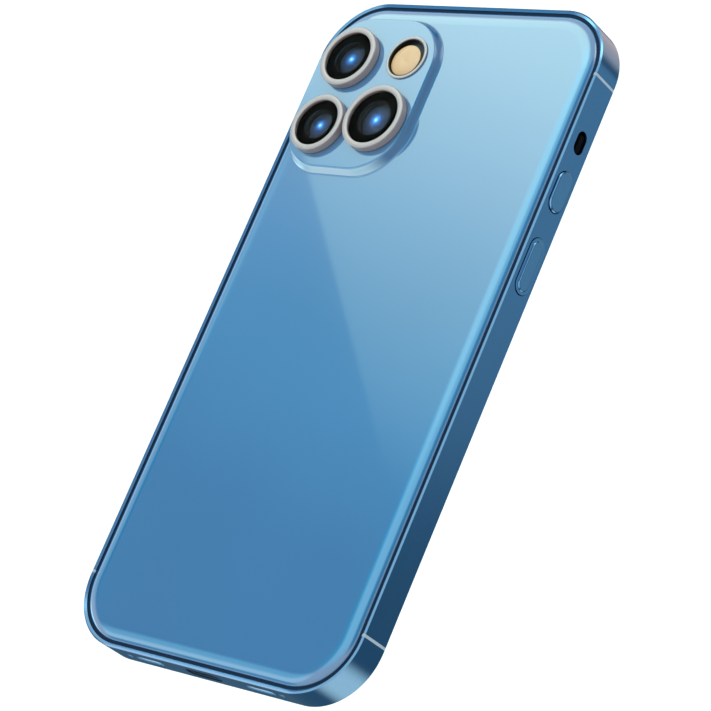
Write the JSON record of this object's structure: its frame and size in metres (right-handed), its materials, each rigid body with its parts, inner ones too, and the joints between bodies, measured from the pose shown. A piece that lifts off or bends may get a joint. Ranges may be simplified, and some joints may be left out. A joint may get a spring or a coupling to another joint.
{
  "type": "smartphone",
  "caption": "Slim smartphone with a soft-edged glass back, flat metal band, raised camera plateau, side buttons, card tray and charging port.",
  "frame": {"origin": "centre of the outer face of the display glass, on which the phone lies", "axes": "+Z out of the back, through the camera side; +Y along the length to the camera end; +X to the side with the volume buttons"},
  "size_m": [0.0724, 0.144, 0.0109],
  "materials": {
    "display_glass": "polished black-bordered cover glass",
    "display_panel": "dark laminated display",
    "black_frame": "moulded black frame",
    "steel_mesh": "fine woven mesh",
    "black_part": "moulded black plastic",
    "front_camera": "black barrel with a dark lens",
    "midframe": "machined plate",
    "band_blue": "blue anodised, semi-gloss",
    "antenna_plastic": "pale blue-grey moulded insert",
    "rear_glass": "polished glass over a blue coating",
    "rear_seal": "dark navy seal",
    "ring_metal": "pale champagne, fine satin",
    "cover_glass": "clear coated glass",
    "barrel": "matt black",
    "lens_glass": "blue-coated lens",
    "module_can": "dark sensor can",
    "sheet_steel": "stamped sheet",
    "flash_rim": "bright silver rim",
    "amber": "amber diffuser",
    "led": "yellow phosphor on a pale board",
    "port_steel": "drawn steel",
    "contact_gold": "gold-plated",
    "end_silver": "bright silver",
    "magnet": "plated magnet",
    "diaphragm": "thin moulded film",
    "battery_pouch": "black laminated pouch",
    "board_green": "solder-masked board",
    "chips": "moulded packages",
    "sim_plastic": "white card",
    "button_blue": "blue anodised, semi-gloss",
    "copper": "enamelled copper wire"
  },
  "bodies": {
    "phone": {"display_glass": "display_glass", "display_panel": "display_panel", "display_frame": "black_frame", "lens_masks": "black_frame", "flash_cup": "black_frame", "earpiece_mesh": "steel_mesh", "earpiece": "black_part", "speaker_box": "black_part", "port_tongue": "black_part", "front_camera": "front_camera", "midframe": "midframe", "band_top": "band_blue", "band_bottom": "band_blue", "band_left": "band_blue", "band_right": "band_blue", "antenna_breaks": "antenna_plastic", "rear_glass": "rear_glass", "rear_seal": "rear_seal", "lens_ring_a": "ring_metal", "lens_ring_b": "ring_metal", "lens_ring_c": "ring_metal", "lens_cover_a": "cover_glass", "lens_cover_b": "cover_glass", "lens_cover_c": "cover_glass", "camera_modules": "module_can", "camera_bracket": "sheet_steel", "shield_can": "sheet_steel", "card_reader": "sheet_steel", "haptic_case": "sheet_steel", "side_switches": "sheet_steel", "bottom_mic": "sheet_steel", "flash_ring": "flash_rim", "flash_diffuser": "amber", "flash_leds": "led", "port_shell": "port_steel", "port_contacts": "contact_gold", "grille_left": "end_silver", "grille_right": "end_silver", "end_screws": "end_silver", "board_screws": "end_silver", "speaker_magnet": "magnet", "coil_magnets": "magnet", "battery": "battery_pouch", "logic_board": "board_green", "board_chips": "chips", "charge_coil": "copper"},
    "focus_a": {"lens_barrel_a": "barrel", "lens_glass_a": "lens_glass"},
    "focus_b": {"lens_barrel_b": "barrel", "lens_glass_b": "lens_glass"},
    "focus_c": {"lens_barrel_c": "barrel", "lens_glass_c": "lens_glass"},
    "volume_up": {"volume_up": "button_blue"},
    "volume_down": {"volume_down": "button_blue"},
    "power_button": {"power_button": "button_blue"},
    "ring_switch": {"ring_switch": "black_part"},
    "card_tray": {"card_tray": "band_blue", "sim_card": "sim_plastic"},
    "speaker_diaphragm": {"speaker_diaphragm": "diaphragm"},
    "haptic_mass": {"haptic_mass": "magnet"}
  },
  "joints": [
    {"name": "volume_up_press", "type": "slide", "parent": "phone", "child": "volume_up", "axis": [-1, 0, 0], "range_m": [0, 0.0003], "stiffness_N_per_m": 5000},
    {"name": "volume_down_press", "type": "slide", "parent": "phone", "child": "volume_down", "axis": [-1, 0, 0], "range_m": [0, 0.0003], "stiffness_N_per_m": 5000},
    {"name": "power_press", "type": "slide", "parent": "phone", "child": "power_button", "axis": [1, 0, 0], "range_m": [0, 0.0003], "stiffness_N_per_m": 5000},
    {"name": "ring_switch_slide", "type": "slide", "parent": "phone", "child": "ring_switch", "axis": [0, 0, 1], "range_m": [0, 0.001]},
    {"name": "card_tray_slide", "type": "slide", "parent": "phone", "child": "card_tray", "axis": [-1, 0, 0], "range_m": [0, 0.02]},
    {"name": "focus_a_slide", "type": "slide", "parent": "phone", "child": "focus_a", "axis": [0, 0, 1], "range_m": [0, 0.0003], "stiffness_N_per_m": 2000},
    {"name": "focus_b_slide", "type": "slide", "parent": "phone", "child": "focus_b", "axis": [0, 0, 1], "range_m": [0, 0.0003], "stiffness_N_per_m": 2000},
    {"name": "focus_c_slide", "type": "slide", "parent": "phone", "child": "focus_c", "axis": [0, 0, 1], "range_m": [0, 0.0003], "stiffness_N_per_m": 2000},
    {"name": "speaker_diaphragm_slide", "type": "slide", "parent": "phone", "child": "speaker_diaphragm", "axis": [0, 0, 1], "range_m": [-0.00025, 0.00025], "stiffness_N_per_m": 2000},
    {"name": "haptic_mass_slide", "type": "slide", "parent": "phone", "child": "haptic_mass", "axis": [1, 0, 0], "range_m": [-0.0005, 0.0005], "stiffness_N_per_m": 4000}
  ]
}
